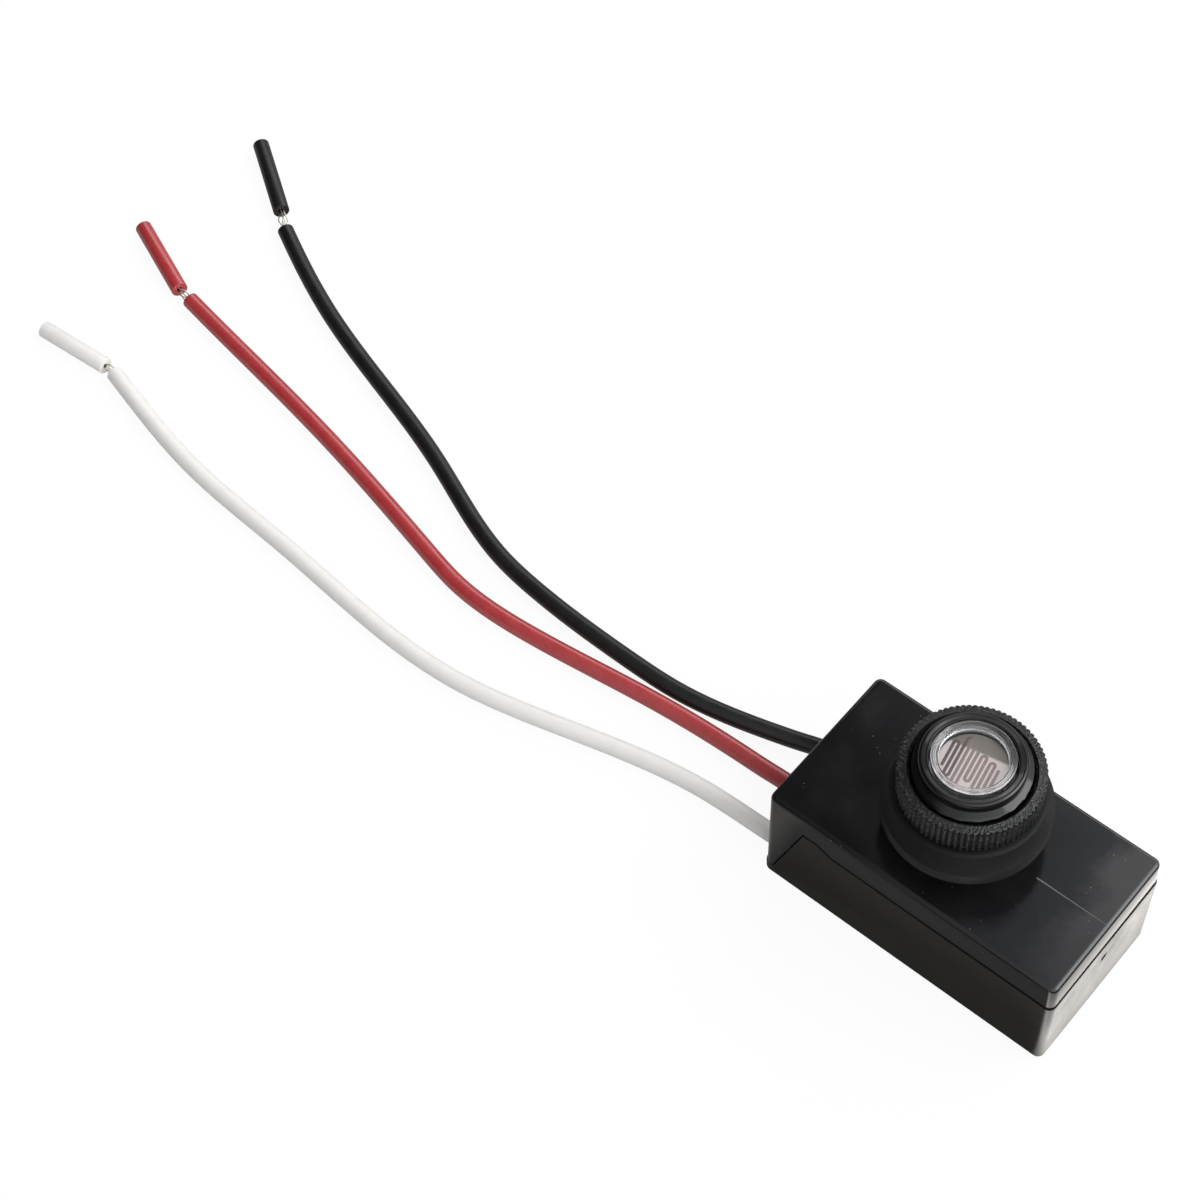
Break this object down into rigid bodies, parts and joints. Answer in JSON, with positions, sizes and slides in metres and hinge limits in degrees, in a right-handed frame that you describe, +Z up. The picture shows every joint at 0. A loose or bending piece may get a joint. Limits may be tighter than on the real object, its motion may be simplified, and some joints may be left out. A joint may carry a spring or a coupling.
{
  "type": "photocell switch",
  "caption": "Photocell switch in a small black case, with a threaded stem, knurled nut, sealing gasket and clear eye on top and colour-coded stripped leads at one end.",
  "frame": {"origin": "middle of the case's underside, below the stem's axis", "axes": "+X along the case away from the end where the leads come out, +Y to the back, +Z up along the stem"},
  "size_m": [0.2367, 0.0733, 0.0454],
  "materials": {
    "case_black": "glossy moulded black",
    "nut_black": "fine grained black",
    "rubber_black": "matte black",
    "lens_clear": "clear, glossy",
    "cell_ceramic": "pale pinkish, with a dark red track",
    "carrier_grey": "dark grey",
    "board_brown": "brown phenolic",
    "tinned_copper": "bright tinned wire",
    "film_yellow": "yellow film box",
    "can_sleeve": "dark blue sleeve",
    "package_black": "black package",
    "resistor_tan": "tan lacquer",
    "glass_orange": "orange glass",
    "varistor_blue": "blue coating",
    "white_pvc": "white insulation",
    "red_pvc": "red insulation",
    "black_pvc": "black insulation"
  },
  "bodies": {
    "root": {"upper_housing": "case_black", "lower_housing": "case_black", "lock_nut": "nut_black", "gasket": "rubber_black", "lens": "lens_clear", "photocell": "cell_ceramic", "cell_carrier": "carrier_grey", "cell_lead_1": "tinned_copper", "cell_lead_2": "tinned_copper", "circuit_board": "board_brown", "dropper_capacitor": "film_yellow", "smoothing_capacitor": "can_sleeve", "triac": "package_black", "transistor": "package_black", "surge_varistor": "varistor_blue", "dropper_resistor": "resistor_tan", "sense_resistor": "resistor_tan", "gate_resistor": "resistor_tan", "rectifier_diode_1": "package_black", "rectifier_diode_2": "package_black", "zener_diode": "glass_orange", "white_tail": "tinned_copper", "red_tail": "tinned_copper", "black_tail": "tinned_copper", "white_lead": "white_pvc", "red_lead": "red_pvc", "black_lead": "black_pvc", "white_strand": "tinned_copper", "red_strand": "tinned_copper", "black_strand": "tinned_copper", "white_slug": "white_pvc", "red_slug": "red_pvc", "black_slug": "black_pvc"}
  },
  "joints": []
}
